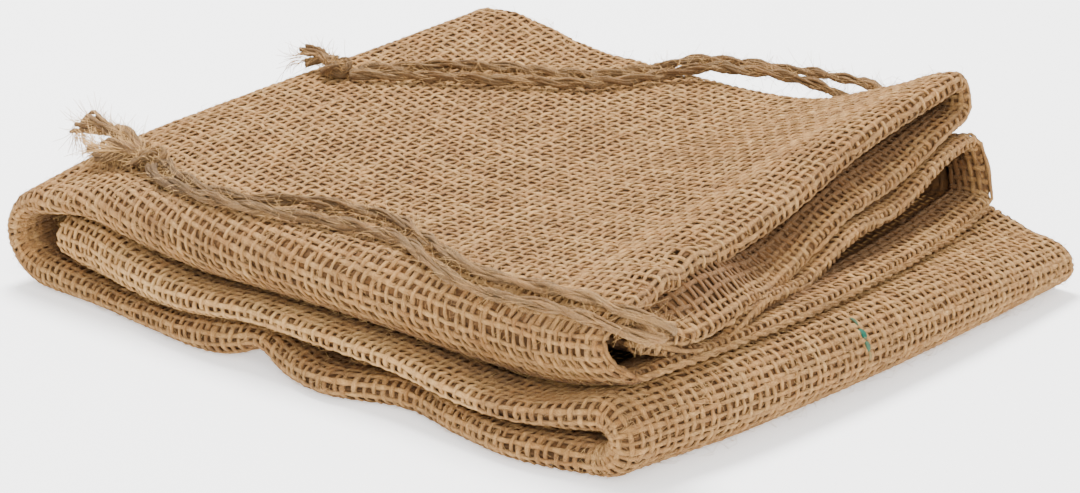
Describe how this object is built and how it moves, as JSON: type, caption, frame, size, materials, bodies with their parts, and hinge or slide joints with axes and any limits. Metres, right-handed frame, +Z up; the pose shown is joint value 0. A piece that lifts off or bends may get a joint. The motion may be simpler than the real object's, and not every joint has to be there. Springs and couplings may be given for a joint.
{
  "type": "folded plant cover",
  "caption": "Open-weave jute plant cover, a drawstring bag folded into a flat layered pad, with doubled jute ties knotted at their free ends.",
  "frame": {"origin": "under the middle of the folded cloth, on the surface it lies on", "axes": "+X along the long folded side from the left fold to the roll at the front, +Y from that side to the paired folds behind, +Z up"},
  "size_m": [0.2268, 0.1992, 0.0537],
  "materials": {
    "jute_cloth": "matt natural jute, open plain weave",
    "jute_cord": "matt twisted jute twine"
  },
  "bodies": {
    "root": {"cover": "jute_cloth", "front_strand_upper": "jute_cord", "front_strand_lower": "jute_cord", "back_strand_upper": "jute_cord", "back_strand_lower": "jute_cord", "front_knot": "jute_cord", "back_knot": "jute_cord"}
  },
  "joints": []
}
